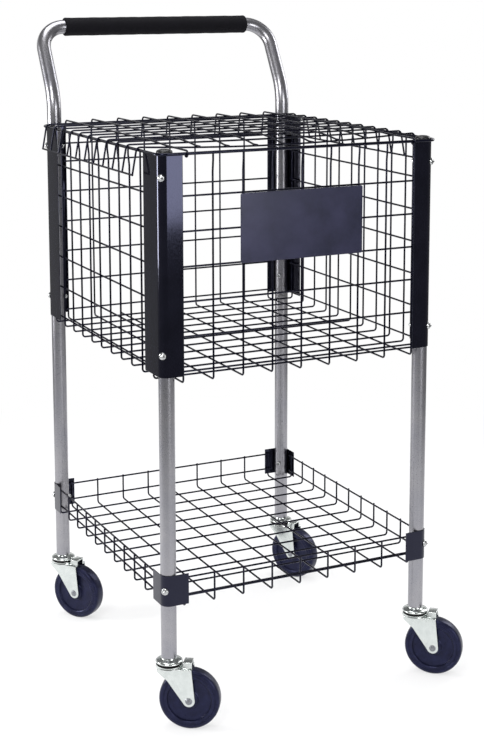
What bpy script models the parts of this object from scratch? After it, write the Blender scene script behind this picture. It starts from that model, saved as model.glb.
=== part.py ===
"""Tennis ball cart: four leg tubes on swivel casters, a deep wire basket with a
hinged wire lid, a shallow wire shelf and a push handle with a foam grip.

Metres, +Z up. The front, with the bare plate, faces -Y and the handle is at +Y.
The origin is on the floor under the middle of the cart's overall outline.
"""
import math

import bmesh
import bpy
from mathutils import Matrix, Vector

# Frame
post_span_x = 0.466        # leg centre to leg centre, left to right
post_span_y = 0.508        # leg centre to leg centre, front to back
tube_r = 0.0127            # legs and handle are 25.4 mm tube
tube_wall = 0.0012
seat = 0.0003              # clearance between pieces that touch
cap_height = 0.0062
cap_plug = 0.012

# Handle
rear_leg_top = 0.740       # the handle plugs into the rear legs here
swage_length = 0.040
handle_bend_z = 0.985
handle_bend_r = 0.050
handle_bar_z = 1.109
handle_back = 0.071        # the cross bar lies this far behind the posts
handle_corner_r = 0.036
grip_length = 0.372
grip_r = 0.017
grip_edge = 0.002

# Sheet brackets and clips
sheet = 0.0012
bracket_height = 0.350
bracket_wing_x = 0.0367    # wing on the front or rear face, from the tube's outer side
bracket_wing_y = 0.065     # wing on the side face
clip_height = 0.051
clip_wing = 0.0425
clip_mid_z = 0.233
bolt_inset = 0.0355        # bolt to the end of a tall bracket

# Bolts
bolt_r = 0.0025
bolt_head_r = 0.006
bolt_head_h = 0.0035
nut_r = 0.0045
nut_h = 0.005
bolt_play = 0.0005

# Wire
wire_r = 0.0016
bite = 0.0005              # how deep two welded wires sink into each other
wire_bend_r = 0.005
wire_past = 0.005          # a row runs this far past its last upright
wire_inset = 0.0112        # last upright to the tube's inner side
uprights_x = 9             # uprights across the front and the rear
uprights_y = 11            # uprights along each side

# Basket
rim_z = 0.9325
rod_r = 0.0025
rows = 6
row_top_z = 0.866
row_above_floor = 0.0171
floor_below_bracket = 0.0106
bracket_below_rim = 0.0005
leg_above_rim = 0.001

# Shelf
shelf_z = 0.2042
shelf_rail_low = 0.2195
shelf_rail_high = 0.250

# Lid
lid_cross = 11             # wires from side to side
lid_long = 9               # wires from front to back
lid_front_gap = 0.077      # hinge rod to the first cross wire
lid_post_gap = 0.0053      # last cross wire to the rear posts
lid_side_gap = 0.0055      # hook wires stand in from the last front uprights
lid_skirt = 0.040
lid_flare = math.radians(10.5)
hook_play = 0.0007
hook_ramp = 0.012

# Sign plate
plate_width = 0.220
plate_height = 0.111
plate_thick = 0.002
plate_mid_z = 0.8095
plate_corner = 0.003

# Casters
wheel_r = 0.050
wheel_half = 0.012
tread_half = 0.009
wheel_shoulder = 0.0035
rim_band = 0.013
web_half = 0.0085
web_step = 0.002
hub_r = 0.014
hub_half = 0.0125
trail = 0.034
plate_clear = 0.0005       # fork plate above the wheel's height
fork_sheet = 0.0025
fork_half = 0.01625        # mid-plane to a fork leg's outer face
race_r = 0.0215
race_low_h = 0.0052
race_up_h = 0.005
race_lip = 0.0005
race_neck_h = 0.0045
king_r = 0.005
king_play = 0.0008
king_head_r = 0.008
king_head_h = 0.0037
stem_plug = 0.040
axle_r = 0.004
axle_play = 0.0004
axle_head_r = 0.00575
axle_head_h = 0.003
fork_toe = 0.0175          # the fork's front edge, ahead of the swivel axis
fork_skirt = 0.005         # how far the front edge is turned down
knee_ahead = 0.0013        # where the fork's front edge starts to lean back
knee_drop = 0.0166
lobe_r = 0.0105            # the fork's rounded end round the axle
arch_rise = 0.010          # the fork's raised back above its plate
arch_lean = 0.002
arch_past_axle = 0.0045
headings = {"fl": -33.2, "fr": -41.8, "rl": -54.5, "rr": -62.0}

# Facets
tube_sides = 12
grip_sides = 12
bolt_sides = 6
wheel_sides = 18           # even but not in fours, so that a flat is lowest
stem_sides = 12
axle_sides = 8
hook_facets = 6
wire_turn = math.radians(45)      # most that one facet of a bend turns
tube_turn = math.radians(23)

corners = {"fl": (-1, -1), "fr": (1, -1), "rl": (-1, 1), "rr": (1, 1)}

# Places that follow from the sizes
post_x = post_span_x / 2
post_y = post_span_y / 2
bore_r = tube_r - tube_wall
plug_r = bore_r * math.cos(math.pi / tube_sides) - seat
face_x = post_x + tube_r + seat            # inner faces of the sheet wings
face_y = post_y + tube_r + seat
rod_x = face_x + sheet + seat + rod_r
rod_y = face_y + sheet + seat + rod_r
rod_corner = tube_r + 2 * seat + sheet + rod_r
last_x = post_x - tube_r - wire_inset
last_y = post_y - tube_r - wire_inset
nudge = seat + bite                        # moves a wire from clear to welded
bracket_top = rim_z - bracket_below_rim
floor_z = bracket_top - bracket_height - floor_below_bracket
row_pitch = (row_top_z - floor_z - row_above_floor) / (rows - 1)
front_leg_top = rim_z + leg_above_rim

plate_low = 2 * wheel_r + plate_clear      # underside of the fork's plate
plate_high = plate_low + fork_sheet
race_low_top = plate_high + race_low_h
race_up_low = race_low_top + seat
race_up_high = race_up_low + race_up_h
leg_foot = race_up_high + race_neck_h + seat

wrap_r = rod_r + wire_r + seat             # a lid wire's bend round a side rod
skirt_x = rod_x + wrap_r * math.cos(lid_flare) + lid_skirt * math.sin(lid_flare)
hook_r = rod_r + wire_r + hook_play
lid_back_y = post_y - tube_r - lid_post_gap
lid_front_y = -rod_y + lid_front_gap
lid_x = last_x - lid_side_gap
handle_y = post_y + handle_back

# Half of the wheel's section, from the bore out to the tread. The tread's facets
# touch the true circle from outside, so the wheel stands on a flat at floor height
tread_r = wheel_r / math.cos(math.pi / wheel_sides)
wheel_section = [
    (axle_r + axle_play, hub_half),
    (hub_r, hub_half),
    (hub_r + web_step, web_half),
    (wheel_r - rim_band - web_step, web_half),
    (wheel_r - rim_band, wheel_half),
    (tread_r - wheel_shoulder, wheel_half),
    (tread_r, tread_half),
]


def clear_scene():
    for obj in list(bpy.data.objects):
        bpy.data.objects.remove(obj, do_unlink=True)


def new_collection(name):
    made = bpy.data.collections.new(name)
    bpy.context.scene.collection.children.link(made)
    return made


def material(name, colour, rough, metal):
    made = bpy.data.materials.new(name)
    made.use_nodes = True
    shader = made.node_tree.nodes["Principled BSDF"]
    shader.inputs["Base Color"].default_value = (*colour, 1.0)
    shader.inputs["Roughness"].default_value = rough
    shader.inputs["Metallic"].default_value = metal
    made.diffuse_color = (*colour, 1.0)
    return made


def tidy(mesh):
    """Weld a curve's loose caps and face every side outwards."""
    work = bmesh.new()
    work.from_mesh(mesh)
    bmesh.ops.remove_doubles(work, verts=work.verts, dist=1e-6)
    bmesh.ops.recalc_face_normals(work, faces=work.faces)
    work.to_mesh(mesh)
    work.free()
    return mesh


def as_mesh(obj):
    """The object's evaluated mesh. The object itself is removed."""
    bpy.context.view_layer.update()
    graph = bpy.context.evaluated_depsgraph_get()
    mesh = bpy.data.meshes.new_from_object(obj.evaluated_get(graph))
    bpy.data.objects.remove(obj, do_unlink=True)
    return mesh


def put(name, mesh, look, parent, smooth=30.0):
    obj = bpy.data.objects.new(name, mesh)
    pieces.objects.link(obj)
    obj.parent = parent
    if not mesh.materials:
        mesh.materials.append(look)
    if smooth:
        mesh.shade_smooth()
        mesh.set_sharp_from_angle(angle=math.radians(smooth))
    return obj


def helper(name, mesh, parent):
    """A shape that cuts or joins another piece and isn't a piece itself."""
    obj = bpy.data.objects.new(name, mesh)
    cutters.objects.link(obj)
    obj.parent = parent
    obj.hide_render = True
    obj.display_type = "WIRE"
    return obj


def boolean(obj, other, operation):
    step = obj.modifiers.new(operation.lower() + "_" + other.name, "BOOLEAN")
    step.operation = operation
    step.solver = "EXACT"
    step.object = other


def spread(half, count):
    return [half * (2 * i / (count - 1) - 1) for i in range(count)]


def fillet(before, corner, after, radius, facet_turn):
    """Points of a bend whose straight facets touch the true arc from outside."""
    into = (corner - before).normalized()
    out = (after - corner).normalized()
    turn = into.angle(out)
    count = math.ceil(turn / facet_turn - 0.01)
    inward = (out - into * math.cos(turn)).normalized()
    centre = corner - into * radius * math.tan(turn / 2) + inward * radius
    reach = radius / math.cos(turn / (2 * count))
    points = []
    for i in range(count):
        angle = (i + 0.5) * turn / count
        points.append(centre + reach * (into * math.sin(angle) - inward * math.cos(angle)))
    return points


def route(stops, radius, facet_turn, closed=False):
    """A path through the stops with each inner stop rounded.

    radius is one number, or one for each stop, 0 for a sharp one.
    """
    stops = [Vector(stop) for stop in stops]
    radii = radius if isinstance(radius, (list, tuple)) else [radius] * len(stops)
    points = []
    for i, stop in enumerate(stops):
        at_end = not closed and i in (0, len(stops) - 1)
        if at_end or radii[i] == 0:
            points.append(stop)
        else:
            after = stops[(i + 1) % len(stops)]
            points += fillet(stops[i - 1], stop, after, radii[i], facet_turn)
    return points


def swept(name, paths, radius, resolution=0, closed=False, scale=None):
    """One closed tube along each path. A resolution of 0 gives four-sided wire."""
    curve = bpy.data.curves.new(name, "CURVE")
    curve.dimensions = "3D"
    curve.fill_mode = "FULL"
    curve.bevel_depth = radius
    curve.bevel_resolution = resolution
    curve.use_fill_caps = True
    for path in paths:
        spline = curve.splines.new("POLY")
        spline.points.add(len(path) - 1)
        for i, place in enumerate(path):
            spline.points[i].co = (*place, 1.0)
            if scale:
                spline.points[i].radius = scale[i]
        spline.use_cyclic_u = closed
    guide = bpy.data.objects.new(name, curve)
    pieces.objects.link(guide)
    return tidy(as_mesh(guide))


def flat(name, outline, thickness):
    """A flat outline in local X and Y, thickened evenly about its own plane."""
    curve = bpy.data.curves.new(name, "CURVE")
    curve.dimensions = "2D"
    curve.fill_mode = "BOTH"
    curve.extrude = thickness / 2
    spline = curve.splines.new("POLY")
    spline.points.add(len(outline) - 1)
    for point, place in zip(spline.points, outline):
        point.co = (place[0], place[1], 0.0, 1.0)
    spline.use_cyclic_u = True
    guide = bpy.data.objects.new(name, curve)
    pieces.objects.link(guide)
    return tidy(as_mesh(guide))


def turned(name, profile, sides, closed=False):
    """A profile of (radius, height), top to bottom on the outer side, turned about Z."""
    mesh = bpy.data.meshes.new(name)
    edges = [(i, i + 1) for i in range(len(profile) - 1)]
    if closed:
        edges.append((len(profile) - 1, 0))
    mesh.from_pydata([(radius, 0.0, height) for radius, height in profile], edges, [])
    guide = bpy.data.objects.new(name, mesh)
    pieces.objects.link(guide)
    screw = guide.modifiers.new("turn", "SCREW")
    screw.steps = sides
    screw.render_steps = sides
    screw.use_merge_vertices = True
    screw.merge_threshold = 0.00001
    return as_mesh(guide)


def rod(name, radius, length, sides):
    """A round cutter along Z, centred on its origin."""
    mesh = bpy.data.meshes.new(name)
    work = bmesh.new()
    bmesh.ops.create_cone(work, cap_ends=True, segments=sides, radius1=radius,
                          radius2=radius, depth=length)
    work.to_mesh(mesh)
    work.free()
    return mesh


def sheet_corner(name, wing_x, wing_y, height, sx, sy):
    """A bent sheet with a wing on each face and a rounded corner round the tube."""
    edge = []
    for outer, turn in ((0.0, 1), (sheet, -1)):
        x = tube_r + seat + outer
        stops = [(x, tube_r + seat - wing_y, 0), (x, x, 0), (tube_r + seat - wing_x, x, 0)]
        edge += route(stops, x, tube_turn)[::turn]
    return flat(name, [(sx * p[0], sy * p[1]) for p in edge], height)


def grille(name, spots, levels, low, high, place, joined):
    """A flat grille of uprights with rows behind them.

    place turns (distance along the face, depth behind the sheet's inner face,
    height) into a point. The two end uprights are welded to every row, and the
    rows in joined are welded to every upright.
    """
    end_depth = seat + wire_r
    row_depth = end_depth + 2 * wire_r - bite
    uprights = []
    for i, spot in enumerate(spots):
        depth = end_depth if i in (0, len(spots) - 1) else end_depth - nudge
        uprights.append([place(spot, depth, low), place(spot, depth, high)])
    lines = []
    reach = spots[-1] + wire_past
    for i, level in enumerate(levels):
        depth = row_depth - nudge if i in joined else row_depth
        lines.append([place(-reach, depth, level), place(reach, depth, level)])
    obj = put(name, swept(name, uprights, wire_r), wire_look, cart, smooth=0)
    boolean(obj, helper(name + "_rows", swept(name + "_rows", lines, wire_r), cart), "UNION")
    return obj


def tray_floor(name, base_z):
    """Two crossing sets of U wires. The upper set lies on the lower one.

    The first wire of each set is nudged until it is welded to all of the other set.
    """
    end_depth = seat + wire_r
    lower = []
    for i, x in enumerate(front_spots):
        last = i in (0, len(front_spots) - 1)
        y = face_y - end_depth + (0 if last else nudge)
        z = base_z + (nudge if i == 0 else 0)
        top = base_z + nudge + wire_bend_r * 1.05
        lower.append(route([(x, -y, top), (x, -y, z), (x, y, z), (x, y, top)], wire_bend_r, wire_turn))
    upper = []
    for i, y in enumerate(side_spots):
        last = i in (0, len(side_spots) - 1)
        x = face_x - end_depth + (0 if last else nudge)
        z = base_z + 2 * wire_r + seat - (nudge if i == 0 else 0)
        top = base_z + 2 * wire_r + seat + wire_bend_r * 1.05
        upper.append(route([(-x, y, top), (-x, y, z), (x, y, z), (x, y, top)], wire_bend_r, wire_turn))
    obj = put(name, swept(name, lower, wire_r), wire_look, cart, smooth=0)
    boolean(obj, helper(name + "_upper", swept(name + "_upper", upper, wire_r), cart), "UNION")
    return obj


def wire_box(name, base_z, levels, high, joined):
    """A floor and four grilles, each a flat panel that meets the floor's bends."""
    low_y = base_z + nudge + wire_bend_r * 1.05 + seat
    low_x = base_z + 2 * wire_r + seat + wire_bend_r * 1.05 + seat
    tray_floor(name + "_floor", base_z)
    grille(name + "_front", front_spots, levels, low_y, high,
           lambda u, d, z: (u, d - face_y, z), joined)
    grille(name + "_rear", front_spots, levels, low_y, high,
           lambda u, d, z: (u, face_y - d, z), joined)
    grille(name + "_left", side_spots, levels, low_x, high,
           lambda u, d, z: (d - face_x, u, z), joined)
    grille(name + "_right", side_spots, levels, low_x, high,
           lambda u, d, z: (face_x - d, u, z), joined)


def bolt_hole(name, key, z):
    """A cutter along the post's diagonal, where a bolt goes through."""
    sx, sy = corners[key]
    hole = helper(name, rod(name, bolt_r + bolt_play, 4 * tube_r, bolt_sides), cart)
    hole.location = (sx * post_x, sy * post_y, z)
    hole.rotation_mode = "QUATERNION"
    hole.rotation_quaternion = Vector((sx, sy, 0)).to_track_quat("Z", "Y")
    return hole


def bolt(name, key, z, mesh):
    sx, sy = corners[key]
    obj = put(name, mesh, bolt_look, cart, smooth=40)
    obj.location = (sx * post_x, sy * post_y, z)
    obj.rotation_mode = "QUATERNION"
    obj.rotation_quaternion = Vector((sx, sy, 0)).to_track_quat("Z", "Y")
    return obj


def wheel_reach(heading):
    """How far a wheel stands out from its centre along X and along Y."""
    c = abs(math.cos(math.radians(heading)))
    s = abs(math.sin(math.radians(heading)))
    return (max(r * c + half * s for r, half in wheel_section),
            max(r * s + half * c for r, half in wheel_section))


def outline_middle():
    """The middle of the cart's overall outline, measured from the posts' middle."""
    xs = [-skirt_x - wire_r, skirt_x + wire_r]
    ys = [-rod_y - hook_r - wire_r, handle_y + grip_r]
    for key, heading in headings.items():
        sx, sy = corners[key]
        reach = wheel_reach(heading)
        x = sx * post_x + trail * math.cos(math.radians(heading))
        y = sy * post_y + trail * math.sin(math.radians(heading))
        xs += [x - reach[0], x + reach[0]]
        ys += [y - reach[1], y + reach[1]]
    return (min(xs) + max(xs)) / 2, (min(ys) + max(ys)) / 2


clear_scene()
pieces = new_collection("tennis_ball_cart")
cutters = new_collection("cutters")

tube_look = material("silver_tube", (0.52, 0.53, 0.56), 0.32, 0.85)
wire_look = material("black_wire", (0.012, 0.012, 0.014), 0.42, 0.1)
sheet_look = material("black_sheet", (0.018, 0.018, 0.022), 0.45, 0.1)
plate_look = material("slate_plate", (0.075, 0.082, 0.115), 0.5, 0.0)
foam_look = material("black_foam", (0.02, 0.02, 0.022), 0.85, 0.0)
plastic_look = material("black_plastic", (0.015, 0.015, 0.017), 0.4, 0.0)
bolt_look = material("zinc_bolt", (0.6, 0.6, 0.6), 0.3, 1.0)
fork_look = material("caster_zinc", (0.62, 0.63, 0.65), 0.28, 1.0)
wheel_look = material("wheel_rubber", (0.02, 0.022, 0.035), 0.55, 0.0)

cart = bpy.data.objects.new("cart", None)
pieces.objects.link(cart)
middle_x, middle_y = outline_middle()
cart.location = (-middle_x, -middle_y, 0)

front_spots = spread(last_x, uprights_x)
side_spots = spread(last_y, uprights_y)

# Bolts: a domed head outside, the shank through sheet and tube, a nut inside
head_seat = tube_r + seat + sheet + seat
nut_seat = -(tube_r + seat)
bolt_mesh = turned("bolt", [
    (0, head_seat + bolt_head_h),
    (bolt_head_r * 0.6, head_seat + bolt_head_h * 0.85),
    (bolt_head_r, head_seat),
    (bolt_r, head_seat),
    (bolt_r, nut_seat),
    (nut_r, nut_seat),
    (nut_r * 0.7, nut_seat - nut_h),
    (0, nut_seat - nut_h),
], bolt_sides)
bolt_heights = {
    "top": bracket_top - bolt_inset,
    "low": bracket_top - bracket_height + bolt_inset,
    "clip": clip_mid_z,
}
holes = {}
for key in corners:
    for spot, z in bolt_heights.items():
        holes[key, spot] = bolt_hole("hole_" + key + "_" + spot, key, z)
        name = "bolt_lower_" + key if spot == "clip" else "bolt_upper_" + key + "_" + spot
        bolt(name, key, z, bolt_mesh)

# Legs: the front ones reach the rim, the rear ones end where the handle plugs in
for key, (sx, sy) in corners.items():
    top = front_leg_top if sy < 0 else rear_leg_top
    section = [(tube_r, top), (tube_r, leg_foot), (bore_r, leg_foot), (bore_r, top)]
    leg = put("leg_" + key, turned("leg_" + key, section, tube_sides, closed=True),
              tube_look, cart)
    leg.location = (sx * post_x, sy * post_y, 0)
    for spot, z in bolt_heights.items():
        if leg_foot < z < top:
            boolean(leg, holes[key, spot], "DIFFERENCE")

# End caps on the front legs
cap_mesh = turned("cap", [
    (0, cap_height),
    (tube_r * 0.55, cap_height * 0.93),
    (tube_r * 0.9, cap_height * 0.6),
    (tube_r, cap_height * 0.25),
    (tube_r, seat),
    (plug_r, seat),
    (plug_r, -cap_plug),
    (0, -cap_plug),
], tube_sides)
for key in ("fl", "fr"):
    cap = put("cap_" + key, cap_mesh, plastic_look, cart)
    cap.location = (corners[key][0] * post_x, corners[key][1] * post_y, front_leg_top)

# Handle: vertical from the rear legs, then leaning back to the cross bar
shoulder = rear_leg_top + seat
handle_stops = [
    (post_x, post_y, rear_leg_top - swage_length),
    (post_x, post_y, shoulder),
    (post_x, post_y, shoulder + seat),
    (post_x, post_y, handle_bend_z),
    (post_x, handle_y, handle_bar_z),
]
handle_stops += [(-x, y, z) for x, y, z in reversed(handle_stops)]
handle_radii = [0, 0, 0, handle_bend_r, handle_corner_r]
handle_radii += handle_radii[::-1]
handle_path = route(handle_stops, handle_radii, tube_turn)
middle_count = len(handle_path) - 6


def handle_tube(name, radius, end_radius, resolution, past=0.0):
    """The handle's tube or its bore. past lengthens the bore beyond the ends."""
    path = [Vector(p) for p in handle_path]
    path[0].z -= past
    path[-1].z -= past
    ratio = end_radius / radius
    scale = [ratio, ratio, 1] + [1] * middle_count + [1, ratio, ratio]
    return swept(name, [path], radius, resolution, scale=scale)


handle_mesh = handle_tube("handle_tube", tube_r, plug_r, tube_sides // 2 - 2)
handle = put("handle_tube", handle_mesh, tube_look, cart)
handle_bore = handle_tube("handle_bore", bore_r, plug_r - tube_wall, 2, past=swage_length)
boolean(handle, helper("handle_bore", handle_bore, cart), "DIFFERENCE")
for key in ("rl", "rr"):
    for spot, z in bolt_heights.items():
        if z > rear_leg_top:
            boolean(handle, holes[key, spot], "DIFFERENCE")

grip_bore = (tube_r + seat) / math.cos(math.pi / grip_sides)
grip_half = grip_length / 2
grip = put("handle_grip", turned("handle_grip", [
    (grip_r - grip_edge, grip_half),
    (grip_r, grip_half - grip_edge),
    (grip_r, grip_edge - grip_half),
    (grip_r - grip_edge, -grip_half),
    (grip_bore, -grip_half),
    (grip_bore, grip_half),
], grip_sides, closed=True), foam_look, cart)
grip.location = (0, handle_y, handle_bar_z)
grip.rotation_euler = (0, math.pi / 2, 0)

# Tall brackets round the basket's corners and short clips round the shelf's
for key, (sx, sy) in corners.items():
    mesh = sheet_corner("bracket_" + key, bracket_wing_x, bracket_wing_y,
                        bracket_height, sx, sy)
    bracket = put("bracket_" + key, mesh, sheet_look, cart)
    bracket.location = (sx * post_x, sy * post_y, bracket_top - bracket_height / 2)
    boolean(bracket, holes[key, "top"], "DIFFERENCE")
    boolean(bracket, holes[key, "low"], "DIFFERENCE")
    mesh = sheet_corner("clip_" + key, clip_wing, clip_wing, clip_height, sx, sy)
    clip = put("clip_" + key, mesh, sheet_look, cart)
    clip.location = (sx * post_x, sy * post_y, clip_mid_z)
    boolean(clip, holes[key, "clip"], "DIFFERENCE")

# Basket and shelf
row_levels = [row_top_z - i * row_pitch for i in range(rows)]
wire_box("basket", floor_z, row_levels, rim_z, (0,))
wire_box("shelf", shelf_z, [shelf_rail_low, shelf_rail_high],
         shelf_rail_high + wire_r, (0,))

rim_stops = [(-rod_x, -rod_y, rim_z), (rod_x, -rod_y, rim_z),
             (rod_x, rod_y, rim_z), (-rod_x, rod_y, rim_z)]
rim_path = route(rim_stops, rod_corner, tube_turn, closed=True)
put("basket_rim", swept("basket_rim", [rim_path], rod_r, 1, closed=True), wire_look, cart)

# Lid: a flat top, three skirts that carry its wires over the rods and down outside
# them, and two hooks that carry its outer long wires round the front rod
cross_z = rim_z + wrap_r
long_z = cross_z + 2 * wire_r + seat
skirt_end_z = wrap_r * math.sin(lid_flare) - lid_skirt * math.cos(lid_flare)
corner_out = wrap_r * math.tan(math.pi / 4 - lid_flare / 2)
cross_spots = [lid_front_y + i * (lid_back_y - lid_front_y) / (lid_cross - 1)
               for i in range(lid_cross)]
long_spots = spread(lid_x, lid_long)
hook_start_y = lid_front_y - wire_r
lid_hinge = bpy.data.objects.new("lid_hinge", None)
pieces.objects.link(lid_hinge)
lid_hinge.parent = cart
lid_hinge.location = (0, -rod_y, rim_z)


def lid_piece(name, paths, joining=()):
    """Lid wires as one body, in the hinge's frame. joining are welded to the paths."""
    to_hinge = Matrix.Translation((0, rod_y, -rim_z))
    mesh = swept(name, paths, wire_r)
    mesh.transform(to_hinge)
    obj = put(name, mesh, wire_look, lid_hinge, smooth=0)
    if joining:
        other = swept(name + "_joining", joining, wire_r)
        other.transform(to_hinge)
        boolean(obj, helper(name + "_joining", other, lid_hinge), "UNION")
    return obj


# The first cross wire and the two outer long wires are welded to all that they cross
cross_wires = []
for i, y in enumerate(cross_spots):
    z = cross_z + (nudge if i == 0 else 0)
    cross_wires.append([(seat - rod_x, y, z), (rod_x - seat, y, z)])
long_wires = []
for i, x in enumerate(long_spots):
    z = long_z - (nudge if i in (0, lid_long - 1) else 0)
    long_wires.append([(x, hook_start_y, z), (x, rod_y - seat, z)])
lid_piece("lid_top", cross_wires, long_wires)

# Each skirt's rail lies just above its lower end, on the inner side
rail_up = 2 * wire_r
rail_in = 2 * wire_r - bite
rail_out = rail_up * math.sin(lid_flare) + rail_in * math.cos(lid_flare)
rail_rise = rail_up * math.cos(lid_flare) - rail_in * math.sin(lid_flare)
skirt_out = skirt_x - rod_x
for name, s in (("lid_left", -1), ("lid_right", 1)):
    wires = []
    for y in cross_spots:
        stops = [(s * rod_x, y, cross_z), (s * (rod_x + corner_out), y, cross_z),
                 (s * skirt_x, y, rim_z + skirt_end_z)]
        wires.append(route(stops, wrap_r, wire_turn))
    rail_x = s * (skirt_x - rail_out)
    rail_z = rim_z + skirt_end_z + rail_rise
    lid_piece(name, wires, [[(rail_x, lid_front_y - wire_r, rail_z), (rail_x, lid_back_y + wire_r, rail_z)]])
wires = []
for x in long_spots:
    stops = [(x, rod_y, long_z), (x, rod_y + corner_out, long_z),
             (x, rod_y + skirt_out, long_z - wrap_r + skirt_end_z)]
    wires.append(route(stops, wrap_r, wire_turn))
rail_y = rod_y + skirt_out - rail_out
rail_z = long_z - wrap_r + skirt_end_z + rail_rise
lid_piece("lid_rear", wires, [[(-lid_x - wire_r, rail_y, rail_z), (lid_x + wire_r, rail_y, rail_z)]])

# Each hook runs on from the top, dips to the front rod and goes round it
for name, x in (("lid_hook_left", -lid_x), ("lid_hook_right", lid_x)):
    path = [Vector((x, hook_start_y - seat, long_z - nudge)),
            Vector((x, hook_ramp + wire_bend_r - rod_y, long_z - nudge)),
            Vector((x, wire_bend_r - rod_y, rim_z + hook_r))]
    step = math.radians(270) / hook_facets
    reach = hook_r / math.cos(step / 2)
    for k in range(hook_facets):
        angle = (k + 0.5) * step
        path.append(Vector((x, -rod_y - reach * math.sin(angle),
                            rim_z + reach * math.cos(angle))))
    path.append(Vector((x, hook_r - rod_y, rim_z)))
    lid_piece(name, [path])

# Sign plate on the front uprights
half_w = plate_width / 2
half_h = plate_height / 2
plate_outline = route([(-half_w, -half_h, 0), (half_w, -half_h, 0), (half_w, half_h, 0),
                       (-half_w, half_h, 0)], plate_corner, wire_turn, closed=True)
upright_front = face_y - (seat + wire_r - nudge) + wire_r
sign = put("sign_plate", flat("sign_plate", plate_outline, plate_thick), plate_look, cart, smooth=0)
sign.location = (0, -upright_front - seat - plate_thick / 2, plate_mid_z)
sign.rotation_euler = (math.pi / 2, 0, 0)

# Caster fork with its riveted axle, in its own frame: swivel axis at the origin,
# wheel towards +X
arch_front = race_r + 0.001
arch_back = trail + arch_past_axle
arch_high = plate_high + arch_rise
lobe_low = wheel_r - lobe_r
side_view = [
    (-fork_toe, plate_high, 0),
    (-fork_toe, plate_high - fork_skirt, 0),
    (-knee_ahead, 2 * wheel_r - knee_drop, 0),
    (trail - lobe_r, lobe_low, lobe_r),
    (trail + lobe_r * 1.4, lobe_low, lobe_r),
    (arch_back, plate_low + fork_sheet, 0),
    (arch_back, arch_high, 0),
    (arch_front + arch_lean, arch_high, 0),
    (arch_front, plate_high, 0),
]
outline = route([(x, z, 0) for x, z, r in side_view], [r for x, z, r in side_view], wire_turn, closed=True)
stand = Matrix.Rotation(math.pi / 2, 4, "X")
fork_mesh = flat("fork", outline, 2 * fork_half)
fork_mesh.transform(stand)
fork_solid = put("fork_solid", fork_mesh, fork_look, None, smooth=0)
arch_in = arch_front + fork_sheet
channel = [
    (-3 * race_r, 0),
    (3 * race_r, 0),
    (3 * race_r, plate_low + fork_sheet),
    (arch_back - fork_sheet, plate_low + fork_sheet),
    (arch_back - fork_sheet, plate_low + arch_rise),
    (arch_in + arch_lean, plate_low + arch_rise),
    (arch_in, plate_low),
    (-3 * race_r, plate_low),
]
channel_mesh = flat("fork_channel", channel, 2 * (fork_half - fork_sheet))
channel_mesh.transform(stand)
boolean(fork_solid, helper("fork_channel", channel_mesh, None), "DIFFERENCE")
race_mesh = turned("fork_race", [
    (0, race_low_top),
    (race_r - fork_sheet, race_low_top),
    (race_r, race_low_top - fork_sheet),
    (race_r, plate_high - fork_sheet / 2),
    (0, plate_high - fork_sheet / 2),
], stem_sides)
boolean(fork_solid, helper("fork_race", race_mesh, None), "UNION")
king_hole = rod("king_hole", king_r + king_play, 4 * race_low_h, axle_sides)
king_hole.transform(Matrix.Translation((0, 0, plate_high)))
boolean(fork_solid, helper("king_hole", king_hole, None), "DIFFERENCE")
axle_seat = fork_half - bite
axle_mesh = turned("fork_axle", [
    (0, axle_seat + axle_head_h),
    (axle_head_r * 0.65, axle_seat + axle_head_h * 0.8),
    (axle_head_r, axle_seat),
    (axle_r, axle_seat),
    (axle_r, -axle_seat),
    (axle_head_r, -axle_seat),
    (axle_head_r * 0.65, -axle_seat - axle_head_h * 0.8),
    (0, -axle_seat - axle_head_h),
], axle_sides)
axle_mesh.transform(Matrix.Translation((trail, 0, wheel_r)) @ stand)
boolean(fork_solid, helper("fork_axle", axle_mesh, None), "UNION")
fork_mesh = as_mesh(fork_solid)
for name in ("fork_channel", "fork_race", "king_hole", "fork_axle"):
    bpy.data.objects.remove(bpy.data.objects[name], do_unlink=True)

# Wheel and stem, turned about their own axes
wheel_mesh = turned("wheel", wheel_section + [(r, -h) for r, h in reversed(wheel_section)],
                    wheel_sides, closed=True)
stem_mesh = turned("stem", [
    (0, leg_foot + stem_plug),
    (plug_r, leg_foot + stem_plug),
    (plug_r, leg_foot - seat),
    (tube_r, leg_foot - seat),
    (race_r + race_lip, race_up_high),
    (race_r + race_lip, race_up_low),
    (king_r, race_up_low),
    (king_r, plate_low - seat),
    (king_head_r, plate_low - seat),
    (king_head_r, plate_low - seat - king_head_h),
    (0, plate_low - seat - king_head_h),
], stem_sides)

for key, (sx, sy) in corners.items():
    stem = put("stem_" + key, stem_mesh, fork_look, cart)
    stem.location = (sx * post_x, sy * post_y, 0)
    swivel = bpy.data.objects.new("swivel_" + key, None)
    pieces.objects.link(swivel)
    swivel.parent = cart
    swivel.location = (sx * post_x, sy * post_y, 0)
    swivel.rotation_euler = (0, 0, math.radians(headings[key]))
    put("fork_" + key, fork_mesh, fork_look, swivel)
    wheel = put("wheel_" + key, wheel_mesh, wheel_look, swivel)
    wheel.location = (trail, 0, wheel_r)
    wheel.rotation_euler = (math.pi / 2, 0, 0)
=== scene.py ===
# Tennis ball cart: round welded wire, bent tube, enamelled sheet and zinc casters,
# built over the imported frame. Metres, +Z up, the front faces -Y
import math
import bmesh
import bpy
from mathutils import Matrix, Vector


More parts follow.
